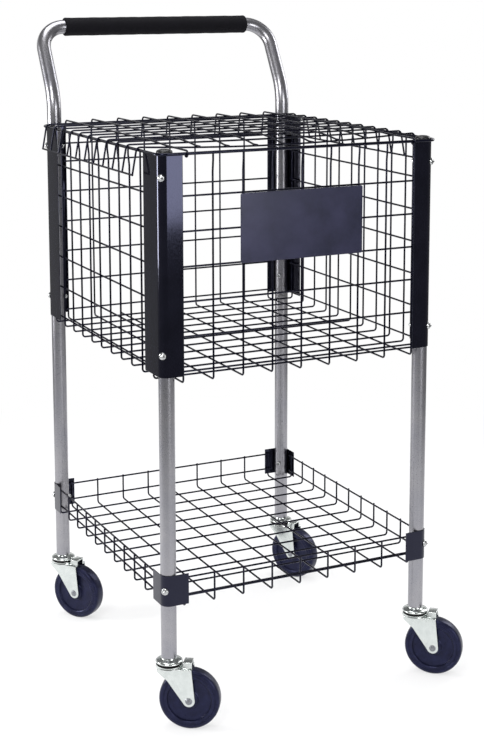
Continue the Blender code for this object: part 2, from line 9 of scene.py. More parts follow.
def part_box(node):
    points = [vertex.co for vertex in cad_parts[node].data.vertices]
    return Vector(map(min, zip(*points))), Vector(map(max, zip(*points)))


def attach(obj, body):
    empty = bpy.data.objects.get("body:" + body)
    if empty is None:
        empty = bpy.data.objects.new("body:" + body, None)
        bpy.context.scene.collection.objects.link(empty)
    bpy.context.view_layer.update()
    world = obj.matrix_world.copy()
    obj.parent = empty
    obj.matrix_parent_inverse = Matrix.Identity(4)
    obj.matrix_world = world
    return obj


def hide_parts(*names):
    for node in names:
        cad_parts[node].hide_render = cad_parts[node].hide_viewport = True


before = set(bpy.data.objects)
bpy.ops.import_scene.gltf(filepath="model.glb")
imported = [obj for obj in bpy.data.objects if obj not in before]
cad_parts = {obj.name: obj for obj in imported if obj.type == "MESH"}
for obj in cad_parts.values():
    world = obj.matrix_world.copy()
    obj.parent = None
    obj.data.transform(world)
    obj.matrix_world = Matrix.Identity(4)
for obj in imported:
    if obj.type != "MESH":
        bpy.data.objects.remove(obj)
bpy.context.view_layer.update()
print("frame loaded:", len(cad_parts), "nodes")

# Sizes that several pieces share, measured from the middle of the four posts
cart = {
    "postX": 0.233,
    "postY": 0.254,
    "tubeR": 0.0127,
    "tubeWall": 0.0012,
    "tubeSides": 48,
    "sheet": 0.0012,
    "rimZ": 0.9325,
    "wireR": 0.0016,
    "wireSides": 10,
    "rodR": 0.0025,
    "rodX": 0.2500,
    "rodY": 0.2710,
    "weld": 0.0004,        # how deep two welded wires sink into each other
    "seat": 0.0003,        # the gap between parts that rest on each other
}
corners = {"fl": (-1, -1), "fr": (1, -1), "rl": (-1, 1), "rr": (1, 1)}
arcStep = math.radians(7.5)        # one facet of a bend

postX, postY = cart["postX"], cart["postY"]
tubeR, wireR, rodR = cart["tubeR"], cart["wireR"], cart["rodR"]
rodX, rodY, rimZ = cart["rodX"], cart["rodY"], cart["rimZ"]
boreR = tubeR - cart["tubeWall"]

legBoxes = [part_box("leg_fl"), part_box("leg_rr")]
middle = sum((low + high for low, high in legBoxes), Vector()) / 4
middle.z = 0.0


# sRGB hex to a linear colour
def linear(hexColour):
    values = [int(hexColour[i:i + 2], 16) / 255 for i in (1, 3, 5)]
    return [v / 12.92 if v <= 0.04045 else ((v + 0.055) / 1.055) ** 2.4 for v in values] + [1.0]


# Texture scale for a pattern of this size in millimetres
def perMm(size):
    return 1000.0 / size


# A node with its settings. A value that is another node's output is linked
def addNode(tree, kind, inputs=None, **settings):
    node = tree.nodes.new("ShaderNode" + kind)
    for key, value in settings.items():
        setattr(node, key, value)
    for key, value in (inputs or {}).items():
        if isinstance(value, bpy.types.NodeSocket):
            tree.links.new(value, node.inputs[key])
        else:
            node.inputs[key].default_value = value
    return node


def newFinish(name, **shaderValues):
    made = bpy.data.materials.new(name)
    made.use_nodes = True
    tree = made.node_tree
    shader = tree.nodes["Principled BSDF"]
    for key, value in shaderValues.items():
        shader.inputs[key.replace("_", " ")].default_value = value
    place = addNode(tree, "TexCoord").outputs["Object"]
    return made, tree, shader, place


# Uneven film, handling marks and rubbed edges that a coated or plated surface shows
def surface(name, look, **shaderValues):
    made, tree, shader, place = newFinish(name, **shaderValues)
    cloud = addNode(tree, "TexNoise", {"Vector": place, "Scale": perMm(look["cloudMm"]),
                                       "Detail": 4.0, "Roughness": 0.6})
    grain = addNode(tree, "TexNoise", {"Vector": place, "Scale": perMm(look["grainMm"]),
                                       "Detail": 2.0, "Roughness": 0.5})
    # Noise stays mostly between 0.3 and 0.7, and the ranges below stretch it
    patch = addNode(tree, "MapRange", {"Value": cloud.outputs["Fac"],
                                       "From Min": 0.32, "From Max": 0.68})
    body = addNode(tree, "Mix", {0: patch.outputs[0], 6: linear(look["low"]),
                                 7: linear(look["high"])}, data_type="RGBA")
    edge = addNode(tree, "MapRange", {"Value": addNode(tree, "NewGeometry").outputs["Pointiness"],
                                      "From Min": look["edgeFrom"], "From Max": look["edgeTo"]})
    broken = addNode(tree, "Math", {0: edge.outputs[0], 1: cloud.outputs["Fac"]},
                     operation="MULTIPLY")
    rubbed = addNode(tree, "Math", {0: broken.outputs[0], 1: look["wear"]}, operation="MULTIPLY",
                     use_clamp=True)
    colour = addNode(tree, "Mix", {0: rubbed.outputs[0], 6: body.outputs[2],
                                   7: linear(look["worn"])}, data_type="RGBA")
    tree.links.new(colour.outputs[2], shader.inputs["Base Color"])
    rough = addNode(tree, "MapRange", {"Value": grain.outputs["Fac"],
                                       "From Min": 0.3, "From Max": 0.7,
                                       "To Min": look["rough"][0], "To Max": look["rough"][1]})
    tree.links.new(rough.outputs[0], shader.inputs["Roughness"])
    bump = addNode(tree, "Bump", {"Height": grain.outputs["Fac"], "Strength": look["bump"],
                                  "Distance": look["reliefMm"] / 1000})
    tree.links.new(bump.outputs["Normal"], shader.inputs["Normal"])
    return made


# Clear-anodised aluminium tube, etched and then drawn: an even neutral grey with a soft
# bright line along it, and a faint grain
tubeFinish = surface("anodisedAluminium", {
    "low": "#98989f", "high": "#a5a4a8", "worn": "#c2c2c6",
    "cloudMm": 55.0,
    "grainMm": 1.6,        # the real etch is about 0.05 mm, too fine to show
    "edgeFrom": 0.53, "edgeTo": 0.62, "wear": 0.8,
    "rough": (0.26, 0.34), "bump": 0.06, "reliefMm": 0.03,
}, Metallic=1.0)

# Stove enamel on steel sheet: near black, with a smooth wet-looking film that takes a
# soft bluish reflection and a fine ripple
sheetFinish = surface("stoveEnamel", {
    "low": "#08080d", "high": "#0e0e15", "worn": "#4b4d58",
    "cloudMm": 40.0,
    "grainMm": 3.5,        # the film's ripple
    "edgeFrom": 0.54, "edgeTo": 0.66, "wear": 1.1,
    "rough": (0.07, 0.11), "bump": 0.06, "reliefMm": 0.04,
}, IOR=1.5, Specular_Tint=linear("#c3c7f4"))

# The same enamel dipped on welded wire: thicker and a little rougher, rubbed at the ends
wireFinish = surface("dippedEnamel", {
    "low": "#04040b", "high": "#090914", "worn": "#2c2d38",
    "cloudMm": 30.0,
    "grainMm": 2.2,
    "edgeFrom": 0.60, "edgeTo": 0.75, "wear": 0.6,
    "rough": (0.14, 0.22), "bump": 0.12, "reliefMm": 0.05,
}, IOR=1.5, Specular_IOR_Level=0.30, Specular_Tint=linear("#c3c7f4"))

# Bright zinc plate on pressed steel: pale and slightly blue-green, with cloudy passivation
zincFinish = surface("brightZinc", {
    "low": "#d0d6d4", "high": "#dbe0de", "worn": "#f4f6f5",
    "cloudMm": 9.0,
    "grainMm": 1.5,        # the real crystals are about 0.1 mm, too fine to show
    "edgeFrom": 0.53, "edgeTo": 0.62, "wear": 1.2,
    "rough": (0.15, 0.24), "bump": 0.05, "reliefMm": 0.02,
}, Metallic=1.0)

# The axle's rivet: plain steel, duller and darker than the plated fork
rivetFinish = surface("rivetSteel", {
    "low": "#7c7e84", "high": "#94969b", "worn": "#c6c8ca",
    "cloudMm": 3.0,
    "grainMm": 1.2,
    "edgeFrom": 0.52, "edgeTo": 0.60, "wear": 1.0,
    "rough": (0.30, 0.42), "bump": 0.08, "reliefMm": 0.02,
}, Metallic=1.0)

# Painted shade for the casters' race gap and the screws' sockets: a nearly black film with a dull
# shine, laid where these recesses lie in shade
recessShadeFinish = surface("paintedRecessShade", {
    "low": "#08080a", "high": "#101012", "worn": "#1c1c20",
    "cloudMm": 4.0,
    "grainMm": 1.5,
    "edgeFrom": 0.55, "edgeTo": 0.70, "wear": 0.5,
    "rough": (0.45, 0.60), "bump": 0.20, "reliefMm": 0.05,
}, IOR=1.47)

# Zinc-plated screw heads, a little duller and turned
boltFinish = surface("zincScrew", {
    "low": "#a9abac", "high": "#c6c8c9", "worn": "#eceded",
    "cloudMm": 3.0,
    "grainMm": 1.2,
    "edgeFrom": 0.52, "edgeTo": 0.60, "wear": 1.0,
    "rough": (0.20, 0.30), "bump": 0.05, "reliefMm": 0.02,
}, Metallic=1.0)

# Moulded polyethylene cap: black, waxy, with fine mould texture
capFinish = surface("polyethylene", {
    "low": "#060608", "high": "#0b0b0f", "worn": "#26272e",
    "cloudMm": 12.0,
    "grainMm": 1.5,
    "edgeFrom": 0.55, "edgeTo": 0.66, "wear": 0.7,
    "rough": (0.30, 0.42), "bump": 0.12, "reliefMm": 0.05,
}, IOR=1.51)

# Rigid laminate sheet, semi-gloss slate with faint scuffs
plateFinish = surface("slateLaminate", {
    "low": "#1f2030", "high": "#2b2b40", "worn": "#5f6274",
    "cloudMm": 45.0,
    "grainMm": 2.0,
    "edgeFrom": 0.54, "edgeTo": 0.66, "wear": 0.9,
    "rough": (0.20, 0.27), "bump": 0.05, "reliefMm": 0.03,
}, IOR=1.49, Specular_Tint=linear("#d8daf2"))

# Moulded wheel rubber: navy black, satin on the sides and scuffed grey where it rolls
wheelFinish = surface("wheelRubber", {
    "low": "#0a0b15", "high": "#17192e", "worn": "#30334a",
    "cloudMm": 11.0,
    "grainMm": 1.8,
    "edgeFrom": 0.53, "edgeTo": 0.64, "wear": 0.9,
    "rough": (0.26, 0.38), "bump": 0.12, "reliefMm": 0.06,
}, IOR=1.52, Specular_IOR_Level=0.36, Specular_Tint=linear("#b9bdff"))


# Closed-cell foam: very dark, matte, open pores on a skin, with a dusty sheen at its rim
foam = {
    "low": "#08070c",
    "high": "#0e0d14",
    "poreMm": 1.8,         # the real cells are about 0.5 mm, too fine to show
    "cloudMm": 20.0,
    "rough": (0.72, 0.90),
    "bump": 0.45,
    "reliefMm": 0.25,
}
foamFinish, tree, shader, place = newFinish(
    "closedCellFoam", IOR=1.33, Specular_IOR_Level=0.30, Sheen_Weight=0.015, Sheen_Roughness=0.4,
    Sheen_Tint=linear("#8d8fa8"))
cloud = addNode(tree, "TexNoise", {"Vector": place, "Scale": perMm(foam["cloudMm"]), "Detail": 3.0})
cells = addNode(tree, "TexVoronoi", {"Vector": place, "Scale": perMm(foam["poreMm"]),
                                     "Randomness": 1.0})
pores = addNode(tree, "MapRange", {"Value": cells.outputs["Distance"],
                                   "From Min": 0.05, "From Max": 0.55})
colour = addNode(tree, "Mix", {0: cloud.outputs["Fac"], 6: linear(foam["low"]),
                               7: linear(foam["high"])}, data_type="RGBA")
rough = addNode(tree, "MapRange", {"Value": pores.outputs[0], "To Min": foam["rough"][1],
                                   "To Max": foam["rough"][0]})
bump = addNode(tree, "Bump", {"Height": pores.outputs[0], "Strength": foam["bump"],
                              "Distance": foam["reliefMm"] / 1000})
tree.links.new(colour.outputs[2], shader.inputs["Base Color"])
tree.links.new(rough.outputs[0], shader.inputs["Roughness"])
tree.links.new(bump.outputs["Normal"], shader.inputs["Normal"])
print("finishes made")


# A path through the stops with its inner stops rounded. radius is one number, or one a stop
def rounded(stops, radius, closed=False, step=arcStep):
    stops = [Vector(stop) for stop in stops]
    radii = radius if isinstance(radius, list) else [radius] * len(stops)
    points = []
    for i, stop in enumerate(stops):
        if radii[i] == 0 or (not closed and i in (0, len(stops) - 1)):
            points.append(stop)
            continue
        into = (stop - stops[i - 1]).normalized()
        out = (stops[(i + 1) % len(stops)] - stop).normalized()
        turn = into.angle(out)
        inward = (out - into * math.cos(turn)).normalized()
        centre = stop - into * radii[i] * math.tan(turn / 2) + inward * radii[i]
        facets = max(2, math.ceil(turn / step))
        for k in range(facets + 1):
            angle = turn * k / facets
            points.append(centre + radii[i] * (into * math.sin(angle) - inward * math.cos(angle)))
    return points


def joinRings(work, rings, loop=False):
    pairs = list(zip(rings, rings[1:]))
    if loop:
        pairs.append((rings[-1], rings[0]))
    for one, other in pairs:
        for k in range(max(len(one), len(other))):
            corner = [one[k % len(one)], one[(k + 1) % len(one)],
                      other[(k + 1) % len(other)], other[k % len(other)]]
            work.faces.new(list(dict.fromkeys(corner)))


# A cut end, in shares of the wire's radius: its eased edge, and how wide the flat end is.
# A ring at hold keeps the rubbed look at the end
cutEnd = {
    "ease": 0.3,
    "hold": 1.5,
    "flat": 0.72,
}


# A round tube or wire along a path. Its ends are eased, and sizes gives a width at each point
def sweep(work, path, radius, sides, closed=False, sizes=None):
    points = [middle + Vector(p) for p in path]
    sizes = sizes or [1.0] * len(points)
    count = len(points)
    tangents = []
    for i in range(count):
        into = points[i] - points[i - 1] if closed or i else points[1] - points[0]
        out = points[(i + 1) % count] - points[i] if closed or i < count - 1 else into
        tangents.append((into.normalized() + out.normalized()).normalized())
    if not closed:
        ease, hold = cutEnd["ease"] * radius, cutEnd["hold"] * radius
        for end in (0, -1):
            beyond = points[1 if end == 0 else -2]
            inward = (beyond - points[end]).normalized()
            added = [points[end], points[end] + inward * ease]
            if (beyond - points[end]).length > 2 * hold:
                added.append(points[end] + inward * hold)
            widths = [sizes[end] * cutEnd["flat"]] + [sizes[end]] * (len(added) - 1)
            along = [tangents[end]] * len(added)
            if end == 0:
                points = added + points[1:]
                sizes = widths + sizes[1:]
                tangents = along + tangents[1:]
            else:
                points = points[:-1] + added[::-1]
                sizes = sizes[:-1] + widths[::-1]
                tangents = tangents[:-1] + along
    side = tangents[0].orthogonal().normalized()
    rings = []
    for i, (point, tangent, size) in enumerate(zip(points, tangents, sizes)):
        if i:
            side = tangents[i - 1].rotation_difference(tangent) @ side
        other = tangent.cross(side)
        rings.append([work.verts.new(point + radius * size * (
            side * math.cos(math.tau * k / sides) + other * math.sin(math.tau * k / sides)))
            for k in range(sides)])
    joinRings(work, rings, loop=closed)
    if not closed:
        work.faces.new(rings[0])
        work.faces.new(rings[-1])


# A profile of (radius, height) turned about Z. It is closed on itself, or ends on the axis
def lathe(work, profile, sides, place=Matrix(), closed=False):
    rings = []
    for radius, height in profile:
        if radius == 0:
            rings.append([work.verts.new(place @ Vector((0, 0, height)))])
            continue
        angles = [math.tau * k / sides for k in range(sides)]
        rings.append([work.verts.new(place @ Vector((radius * math.cos(angle),
                                                     radius * math.sin(angle), height)))
                      for angle in angles])
    joinRings(work, rings, loop=closed)


# A plate through outlines that lie one behind the other. The first and last are its faces
def plateBetween(work, outlines, place=Matrix()):
    rings = [[work.verts.new(place @ Vector(p)) for p in outline] for outline in outlines]
    joinRings(work, rings)
    work.faces.new(rings[0])
    work.faces.new(rings[-1])


# The faces made since that count take another finish, or only those that fit the test
def paint(work, since, index, test=None):
    work.faces.ensure_lookup_table()
    for face in work.faces[since:]:
        if test is None or test(face.calc_center_median()):
            face.material_index = index


def makePiece(name, work, finishes, body, replaced, smoothDegrees=35):
    bmesh.ops.recalc_face_normals(work, faces=work.faces)
    made = bpy.data.meshes.new(name)
    work.to_mesh(made)
    work.free()
    for finish in finishes if isinstance(finishes, list) else [finishes]:
        made.materials.append(finish)
    made.shade_smooth()
    made.set_sharp_from_angle(angle=math.radians(smoothDegrees))
    piece = bpy.data.objects.new(name, made)
    bpy.context.scene.collection.objects.link(piece)
    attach(piece, body)
    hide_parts(*replaced)
    return piece


def standAt(x, y, z=0.0):
    return Matrix.Translation(middle + Vector((x, y, z)))


# Legs: plain tube with its ends deburred
legs = {
    "foot": 0.1183,
    "frontTop": 0.9335,
    "rearTop": 0.740,
    "deburr": 0.0003,
    "hold": 0.003,         # a ring here keeps the rubbed look at the end
}
for key, (sx, sy) in corners.items():
    work = bmesh.new()
    top = legs["frontTop"] if sy < 0 else legs["rearTop"]
    low, cut, hold = legs["foot"], legs["deburr"], legs["hold"]
    lathe(work, [(tubeR - cut, top), (tubeR, top - cut), (tubeR, top - hold), (tubeR, low + hold),
                 (tubeR, low + cut), (tubeR - cut, low), (boreR, low), (boreR, low + hold),
                 (boreR, top - hold), (boreR, top)], cart["tubeSides"],
          standAt(sx * postX, sy * postY), closed=True)
    makePiece("legTube_" + key, work, tubeFinish, "frame", ["leg_" + key])

# End caps: a low dome with a rounded shoulder, pushed into the front legs
cap = {
    "height": 0.0062,
    "plug": 0.012,
    "fit": 0.0002,
    "shoulder": 0.28,      # this share of the height is the upright rim
    "roundness": 0.8,
    "domeSteps": 8,
}
for key in ("fl", "fr"):
    work = bmesh.new()
    rise, steps, fit, plug = cap["height"], cap["domeSteps"], cap["fit"], cap["plug"]
    rimH = rise * cap["shoulder"]
    profile = [(0, rise)]
    for i in range(1, steps + 1):
        angle = math.pi / 2 * i / steps
        profile.append((tubeR * math.sin(angle) ** cap["roundness"],
                        rimH + (rise - rimH) * math.cos(angle)))
    profile += [(tubeR, fit), (boreR - fit, fit), (boreR - 2 * fit, -plug), (0, -plug)]
    lathe(work, profile, cart["tubeSides"],
          standAt(corners[key][0] * postX, corners[key][1] * postY, legs["frontTop"]))
    makePiece("endCap_" + key, work, capFinish, "frame", ["cap_" + key])

# Handle: one bent tube whose swaged ends plug into the rear legs
handle = {
    "swage": 0.040,
    "swageRamp": 0.0012,
    "fit": 0.0002,
    "facet": math.radians(4),
    "bendZ": 0.985,
    "bendR": 0.110,
    "barY": 0.325,
    "barZ": 1.109,
    "cornerR": 0.046,
}
shoulder = legs["rearTop"] + cart["seat"]
halfWay = [(postX, postY, legs["rearTop"] - handle["swage"]), (postX, postY, shoulder),
           (postX, postY, shoulder + handle["swageRamp"]), (postX, postY, handle["bendZ"]),
           (postX, handle["barY"], handle["barZ"])]
stops = halfWay + [(-x, y, z) for x, y, z in reversed(halfWay)]
bends = [0, 0, 0, handle["bendR"], handle["cornerR"]]
path = rounded(stops, bends + bends[::-1], step=handle["facet"])
narrow = (boreR - handle["fit"]) / tubeR
sizes = [narrow, narrow] + [1.0] * (len(path) - 4) + [narrow, narrow]
work = bmesh.new()
sweep(work, path, tubeR, cart["tubeSides"], sizes=sizes)
makePiece("handleTube", work, tubeFinish, "frame", ["handle_tube"])

# Foam grip, slipped over the cross bar, with slightly swollen rounded ends
grip = {
    "length": 0.372,
    "radius": 0.017,
    "edge": 0.0028,
    "waist": 0.00024,      # the foam between its ends is this much thinner
    "uneven": 0.00012,
    "waves": ((97, 1.3), (231, 0)),        # radians a metre, and where each wave starts
    "sides": 48,
    "edgeSteps": 4,
    "rings": 60,
}
work = bmesh.new()
half, radius, edge = grip["length"] / 2, grip["radius"], grip["edge"]
profile = [(tubeR, half)]
for i in range(grip["edgeSteps"] + 1):
    angle = math.pi / 2 * i / grip["edgeSteps"]
    profile.append((radius - edge + edge * math.sin(angle), half - edge + edge * math.cos(angle)))
for i in range(1, grip["rings"]):
    x = (half - edge) * (1 - 2 * i / grip["rings"])
    wave = grip["uneven"] * sum(math.sin(rate * x + start) for rate, start in grip["waves"])
    profile.append((radius - grip["waist"] + wave, x))
profile += [(r, -x) for r, x in reversed(profile[:grip["edgeSteps"] + 2])]
place = standAt(0, handle["barY"], handle["barZ"]) @ Matrix.Rotation(math.pi / 2, 4, "Y")
lathe(work, profile, grip["sides"], place, closed=True)
piece = makePiece("foamGrip", work, foamFinish, "frame", ["handle_grip"])
print("tubes, caps and grip made")

# Tall brackets and short clips: sheet bent round the tube, with eased free edges
sheetMetal = {
    "bracketTop": 0.932,
    "bracketHeight": 0.350,
    "bracketWings": (0.0367, 0.065),       # on the front or rear face, on the side face
    "clipMid": 0.233,
    "clipHeight": 0.051,
    "clipWings": (0.0425, 0.0425),
    "ease": 0.00035,
    "holds": (0.0012, 0.004),              # rings this far from an edge keep its rubbed look there
    "facet": math.radians(6),
}


# The sheet's section at one height, as a ring round its thickness
def sheetOutline(wings, sx, sy, inset, z):
    inner = tubeR + cart["seat"]
    lines = []
    for offset in (inset, cart["sheet"] - inset):
        reach = inner + offset
        ends = [(reach, inner - wings[1] + inset, 0), (reach, reach, 0),
                (inner - wings[0] + inset, reach, 0)]
        line = rounded(ends, reach, step=sheetMetal["facet"])
        near, far = sheetMetal["holds"]
        line[1:1] = [line[0] + Vector((0, near, 0)), line[0] + Vector((0, far, 0))]
        line[-1:-1] = [line[-1] + Vector((far, 0, 0)), line[-1] + Vector((near, 0, 0))]
        lines.append(line)
    ring = lines[0] + lines[1][::-1]
    return [(sx * p[0], sy * p[1], z) for p in ring]


def bentSheet(wings, low, high, key):
    sx, sy = corners[key]
    ease = sheetMetal["ease"]
    work = bmesh.new()
    near, far = sheetMetal["holds"]
    levels = [(ease, low), (0, low + ease), (0, low + near), (0, low + far),
              (0, high - far), (0, high - near), (0, high - ease), (ease, high)]
    plateBetween(work, [sheetOutline(wings, sx, sy, inset, z) for inset, z in levels],
                 standAt(sx * postX, sy * postY))
    return work


for key in corners:
    high = sheetMetal["bracketTop"]
    low = high - sheetMetal["bracketHeight"]
    work = bentSheet(sheetMetal["bracketWings"], low, high, key)
    makePiece("cornerBracket_" + key, work, sheetFinish, "frame", ["bracket_" + key])
    mid, halfHeight = sheetMetal["clipMid"], sheetMetal["clipHeight"] / 2
    work = bentSheet(sheetMetal["clipWings"], mid - halfHeight, mid + halfHeight, key)
    makePiece("shelfClip_" + key, work, sheetFinish, "frame", ["clip_" + key])

# Bolts: button heads with a hexagon socket outside, a domed nut inside
bolt = {
    "heights": {"upper_top": 0.8965, "upper_low": 0.6175, "lower": 0.233},
    "shankR": 0.0025,
    "headR": 0.006,
    "headH": 0.0035,
    "socketR": 0.0025,
    "socketLip": 0.0004,
    "socketDepth": 0.0026,
    "flats": 0.9,          # half a hexagon's width, in shares of its ring's radius
    "rim": 0.18,           # this share of the head's height is its upright rim
    "socketShade": 0.8,         # and the socket is painted dark as shade up to this share of it
    "nutR": 0.0045,
    "nutH": 0.005,
    "domeSteps": 7,
    "sides": 24,
}


# Turns a round ring into a hexagon. width is half of what it measures across its flats
def hexagonal(ring, centre, axis, width):
    start = (ring[0].co - centre).normalized()
    for k, vert in enumerate(ring):
        turn = math.tau * k / len(ring)
        within = (turn + math.pi / 6) % (math.pi / 3) - math.pi / 6
        radius = width / math.cos(within)
        flatPart = axis * (vert.co - centre).dot(axis)
        vert.co = centre + flatPart + Matrix.Rotation(turn, 3, axis) @ start * radius


def boltBody(place):
    work = bmesh.new()
    seatZ = tubeR + cart["sheet"] + 2 * cart["seat"]
    nutZ = -tubeR
    r, h = bolt["headR"], bolt["headH"]
    socket = bolt["socketR"]
    lip = socket + bolt["socketLip"]
    dome = [(socket, h * 0.97), (lip, h)]
    for i in range(1, bolt["domeSteps"] + 1):
        angle = math.pi / 2 * i / bolt["domeSteps"]
        dome.append((lip + (r - lip) * math.sin(angle),
                     h * (bolt["rim"] + (1 - bolt["rim"]) * math.cos(angle))))
    floorZ, under = seatZ + h - bolt["socketDepth"], seatZ - cart["seat"]
    profile = [(0, floorZ), (socket, floorZ)]
    profile += [(radius, seatZ + z) for radius, z in dome]
    profile += [(r, under), (bolt["shankR"], under), (bolt["shankR"], nutZ)]
    n, t = bolt["nutR"], bolt["nutH"]
    nut = [(n, nutZ), (n, nutZ - t * 0.45), (n * 0.86, nutZ - t * 0.5),
           (n * 0.8, nutZ - t * 0.7), (n * 0.5, nutZ - t * 0.95), (0, nutZ - t)]
    profile += nut
    lathe(work, profile, bolt["sides"], place)
    work.verts.ensure_lookup_table()
    centre, axis = place.translation, (place.to_3x3() @ Vector((0, 0, 1))).normalized()
    sides = bolt["sides"]
    rings = [1 + sides * i for i in range(len(profile) - 2)]
    ringOf = {i + 1: [work.verts[start + k] for k in range(sides)] for i, start in enumerate(rings)}
    for i in (1, 2):
        hexagonal(ringOf[i], centre, axis, socket * bolt["flats"])
    nutStart = len(profile) - len(nut)
    for i in (nutStart, nutStart + 1):
        hexagonal(ringOf[i], centre, axis, n * bolt["flats"])
    shadeTop = seatZ + h * bolt["socketShade"]

    def isInSocket(spot):
        along = (spot - centre).dot(axis)
        out = (spot - centre - axis * along).length
        return seatZ < along < shadeTop and out < socket

    # The socket's walls and floor take the painted shade
    paint(work, 0, 1, isInSocket)
    return work


for key, (sx, sy) in corners.items():
    outward = Vector((sx, sy, 0)).to_track_quat("Z", "Y").to_matrix().to_4x4()
    for spot, z in bolt["heights"].items():
        work = boltBody(standAt(sx * postX, sy * postY, z) @ outward)
        node = "bolt_lower_" + key
        if spot != "lower":
            node = spot.replace("upper", "bolt_upper_" + key)
        makePiece("screw_" + key + "_" + spot, work, [boltFinish, recessShadeFinish], "frame",
                  [node], 40)
print("brackets, clips and screws made")

# Welded wire: U wires run down one face, across the floor and up the opposite face,
# and the rows lie behind them
mesh = {
    "faceX": 0.2460,       # inner faces of the sheet wings
    "faceY": 0.2670,
    "lastX": 0.2091,       # outermost upright on the front and rear
    "lastY": 0.2301,
    "acrossX": 9,
    "acrossY": 11,
    "bendR": 0.005,
    "rowPast": 0.005,      # a row runs this far past the last upright
    "floorZ": 0.5714,
    "rowZ": [0.866, 0.8105, 0.755, 0.6995, 0.644, 0.5885],
    "shelfZ": 0.2042,
    "railZ": [0.2195, 0.250],
    "leanFrom": 0.030,     # below the rim, where a free upright leans out to the rod
    "leanRise": 0.018,
    "leanR": 0.020,
}
pitch = 2 * wireR - cart["weld"]
xSpots = [mesh["lastX"] * (2 * i / (mesh["acrossX"] - 1) - 1) for i in range(mesh["acrossX"])]
ySpots = [mesh["lastY"] * (2 * i / (mesh["acrossY"] - 1) - 1) for i in range(mesh["acrossY"])]


def wirePiece(name, paths, nodes, body):
    work = bmesh.new()
    for path in paths:
        sweep(work, path, wireR, cart["wireSides"])
    return makePiece(name, work, wireFinish, body, nodes, 60)


# place turns (along the face, out from the middle, height) into a point. meetRod is how
# far out a free upright leans to touch the rim rod
def uWire(spot, out, floorZ, top, place, meetRod):
    arm = [(spot, out, floorZ), (spot, out, top)]
    radii = [mesh["bendR"], 0]
    if meetRod:
        start = top - mesh["leanFrom"]
        arm = [(spot, out, floorZ), (spot, out, start),
               (spot, meetRod, start + mesh["leanRise"]), (spot, meetRod, top)]
        radii = [mesh["bendR"], mesh["leanR"], mesh["leanR"], 0]
    stops = [place(u, -v, z) for u, v, z in reversed(arm)] + [place(*stop) for stop in arm]
    return rounded(stops, radii[::-1] + radii)


# The free uprights between the brackets lean out where the tray meets the rim rod
def wireTray(floorZ, top, levels, meetsRod):
    outX, outY = mesh["faceX"] - wireR, mesh["faceY"] - wireR
    meetX = rodX - rodR - wireR + cart["weld"] if meetsRod else None
    meetY = rodY - rodR - wireR + cart["weld"] if meetsRod else None
    wings = sheetMetal["bracketWings"]
    freeX, freeY = postX - tubeR - wings[0], postY - tubeR - wings[1]
    paths = []
    for x in xSpots:
        paths.append(uWire(x, outY, floorZ, top, lambda u, v, z: (u, v, z),
                           meetY if abs(x) < freeX else None))
    for y in ySpots:
        paths.append(uWire(y, outX, floorZ + pitch, top, lambda u, v, z: (v, u, z),
                           meetX if abs(y) < freeY else None))
    endX, endY = mesh["lastX"] + mesh["rowPast"], mesh["lastY"] + mesh["rowPast"]
    for z in levels:
        for s in (-1, 1):
            paths.append([(-endX, s * (outY - pitch), z), (endX, s * (outY - pitch), z)])
            paths.append([(s * (outX - pitch), -endY, z), (s * (outX - pitch), endY, z)])
    return paths


wirePiece("basketWires", wireTray(mesh["floorZ"], rimZ, mesh["rowZ"], True),
          ["basket_front", "basket_rear", "basket_left", "basket_right", "basket_floor"], "frame")
wirePiece("shelfWires", wireTray(mesh["shelfZ"], mesh["railZ"][-1] + wireR, mesh["railZ"], False),
          ["shelf_front", "shelf_rear", "shelf_left", "shelf_right", "shelf_floor"], "frame")

rim = {
    "cornerR": 0.0170,
    "sides": 16,
}
work = bmesh.new()
stops = [(-rodX, -rodY, rimZ), (rodX, -rodY, rimZ), (rodX, rodY, rimZ), (-rodX, rodY, rimZ)]
sweep(work, rounded(stops, rim["cornerR"], closed=True), rodR, rim["sides"], closed=True)
makePiece("rimRod", work, wireFinish, "frame", ["basket_rim"], 60)
print("basket and shelf made")

# Lid: cross wires that bend down over the side rods, long wires on top of them that bend
# down at the rear, three rails at the skirts' tips and two hooks round the front rod.
# Its front edge has been pushed down in use and sags between the side rods
lid = {
    "crossCount": 11,
    "longCount": 9,
    "frontY": -0.194,
    "rearY": 0.236,
    "outerX": 0.2036,
    "past": 0.016,         # the long wires run this far past the first cross wire
    "sag": 0.0078,
    "sagStations": 14,     # steps along a cross wire that sags
    "slopeSteps": 4,       # and along a long wire, from the first cross wire to the third
    "lift": 0.0004,        # the wider bends ride this much higher on the rods
    "bendR": 0.007,
    "skirt": 0.040,
    "flare": math.radians(10.5),
    "hookR": 0.0048,
    "hookRamp": 0.021,
    "hookTurn": math.radians(270),
    "hookFacets": 24,
}
wrapR = rodR + wireR + cart["seat"] + lid["lift"]
flare = lid["flare"]
crossZ = rimZ + wrapR
longZ = crossZ + pitch
skirtOut = wrapR * math.cos(flare) + lid["skirt"] * math.sin(flare)
skirtDown = wrapR * math.sin(flare) - lid["skirt"] * math.cos(flare)
cornerOut = wrapR * math.tan(math.pi / 4 - flare / 2)
crossY = [lid["frontY"] + i * (lid["rearY"] - lid["frontY"]) / (lid["crossCount"] - 1)
          for i in range(lid["crossCount"])]
longX = [lid["outerX"] * (2 * i / (lid["longCount"] - 1) - 1) for i in range(lid["longCount"])]


# How far the lid's mesh hangs down here: most in the middle of its first cross wire,
# nothing at the side rods and from the third cross wire on
def sagAt(x, y):
    forward = min(1.0, max(0.0, (crossY[2] - y) / (crossY[2] - crossY[0])))
    return lid["sag"] * max(0.0, 1 - (x / rodX) ** 2) * forward ** 2


